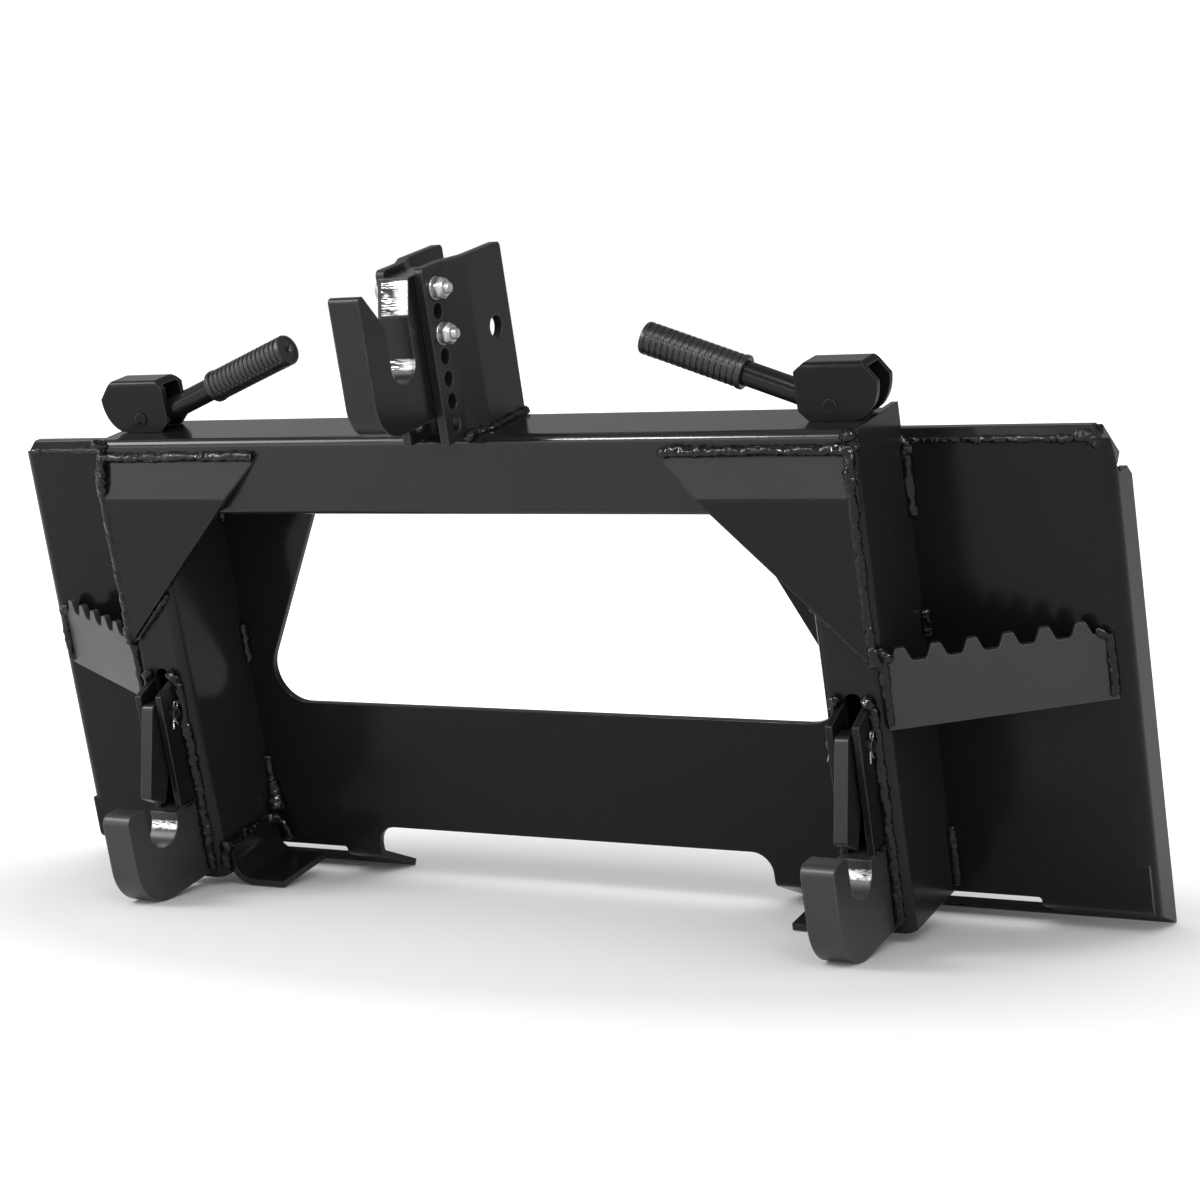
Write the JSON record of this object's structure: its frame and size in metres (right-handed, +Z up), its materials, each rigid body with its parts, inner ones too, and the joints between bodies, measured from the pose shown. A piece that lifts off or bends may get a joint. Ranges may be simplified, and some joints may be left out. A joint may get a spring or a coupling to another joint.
{
  "type": "three point quick hitch",
  "caption": "Loader attachment plate that carries a three point hitch: beam on posts, latching lower hooks worked by cam levers, and a bolted top hook on a mast bracket.",
  "frame": {"origin": "middle of the bounding box's underside, on the ground between the hooks and the plate's rear edge", "axes": "+X to the right seen from the implement's side, +Y back towards the loader, +Z up, with the hitch leaning forward as it stands by itself on a floor"},
  "size_m": [1.13, 0.3878, 0.6004],
  "materials": {
    "black paint, plate": "glossy black paint on steel",
    "black paint, lip": "glossy black paint on steel",
    "black paint, beam": "glossy black paint on steel",
    "black paint, posts": "glossy black paint on steel",
    "black paint, gussets": "glossy black paint on steel",
    "black paint, steps": "glossy black paint on steel",
    "black paint, foot angles": "glossy black paint on steel",
    "black paint, lower hooks": "glossy black paint on steel",
    "black paint, ears": "glossy black paint on steel",
    "black paint, latches": "glossy black paint on steel",
    "black paint, latch pins": "glossy black paint on steel",
    "zinc, cotter pins": "zinc plated steel",
    "black paint, lever heads": "glossy black paint on steel",
    "black paint, handles": "glossy black paint on steel",
    "black rubber, grips": "moulded black rubber",
    "zinc, lever pins": "zinc plated steel",
    "black paint, pull rods": "glossy black paint on steel",
    "zinc, link pins": "zinc plated steel",
    "black paint, mast cheeks": "glossy black paint on steel",
    "black paint, top hook": "glossy black paint on steel",
    "zinc, bolts": "zinc plated steel",
    "zinc, nuts": "zinc plated steel",
    "zinc, washers": "zinc plated steel"
  },
  "bodies": {
    "frame": {"cross_beam": "black paint, beam", "foot_angle_left": "black paint, foot angles", "foot_angle_right": "black paint, foot angles", "gusset_left": "black paint, gussets", "gusset_right": "black paint, gussets", "hook_bolts": "zinc, bolts", "hook_nuts": "zinc, nuts", "hook_washers": "zinc, washers", "inner_ear_left": "black paint, ears", "inner_ear_right": "black paint, ears", "latch_cotters_left": "zinc, cotter pins", "latch_cotters_right": "zinc, cotter pins", "latch_pin_left": "black paint, latch pins", "latch_pin_right": "black paint, latch pins", "lower_hook_left": "black paint, lower hooks", "lower_hook_right": "black paint, lower hooks", "mast_cheek_left": "black paint, mast cheeks", "mast_cheek_right": "black paint, mast cheeks", "outer_ear_left": "black paint, ears", "outer_ear_right": "black paint, ears", "post_left": "black paint, posts", "post_right": "black paint, posts", "rear_plate": "black paint, plate", "step_left": "black paint, steps", "step_right": "black paint, steps", "top_hook": "black paint, top hook", "top_lip": "black paint, lip"},
    "pull_rod_right": {"pull_rod_right": "black paint, pull rods", "link_pin_right": "zinc, link pins", "lever_pin_right": "zinc, lever pins"},
    "cam_lever_right": {"lever_head_right": "black paint, lever heads", "lever_handle_right": "black paint, handles", "lever_grip_right": "black rubber, grips"},
    "latch_right": {"latch_right": "black paint, latches"},
    "pull_rod_left": {"pull_rod_left": "black paint, pull rods", "link_pin_left": "zinc, link pins", "lever_pin_left": "zinc, lever pins"},
    "cam_lever_left": {"lever_head_left": "black paint, lever heads", "lever_handle_left": "black paint, handles", "lever_grip_left": "black rubber, grips"},
    "latch_left": {"latch_left": "black paint, latches"}
  },
  "joints": [
    {"name": "pull_rod_right_slide", "type": "slide", "parent": "frame", "child": "pull_rod_right", "axis": [0, -0.214, 0.9768], "range_m": [0, 0.031]},
    {"name": "cam_lever_right_hinge", "type": "hinge", "parent": "pull_rod_right", "child": "cam_lever_right", "pos_m": [0.355, -0.00636, 0.45615], "axis": [0, 0.9768, 0.214], "range_deg": [0, 90]},
    {"name": "latch_right_hinge", "type": "hinge", "parent": "frame", "child": "latch_right", "pos_m": [0.3585, -0.01122, 0.17459], "axis": [1, 0, 0], "range_deg": [0, 26.86]},
    {"name": "pull_rod_left_slide", "type": "slide", "parent": "frame", "child": "pull_rod_left", "axis": [0, -0.214, 0.9768], "range_m": [0, 0.031]},
    {"name": "cam_lever_left_hinge", "type": "hinge", "parent": "pull_rod_left", "child": "cam_lever_left", "pos_m": [-0.355, -0.00636, 0.45615], "axis": [0, -0.9768, -0.214], "range_deg": [0, 90]},
    {"name": "latch_left_hinge", "type": "hinge", "parent": "frame", "child": "latch_left", "pos_m": [-0.3585, -0.01122, 0.17459], "axis": [1, 0, 0], "range_deg": [0, 26.86]}
  ],
  "couplings": [
    {"joint": "pull_rod_right_slide", "follows": "cam_lever_right_hinge", "m_per_rad": 0.019608},
    {"joint": "latch_right_hinge", "follows": "cam_lever_right_hinge", "ratio": 0.2962},
    {"joint": "pull_rod_left_slide", "follows": "cam_lever_left_hinge", "m_per_rad": 0.019608},
    {"joint": "latch_left_hinge", "follows": "cam_lever_left_hinge", "ratio": 0.2962}
  ]
}
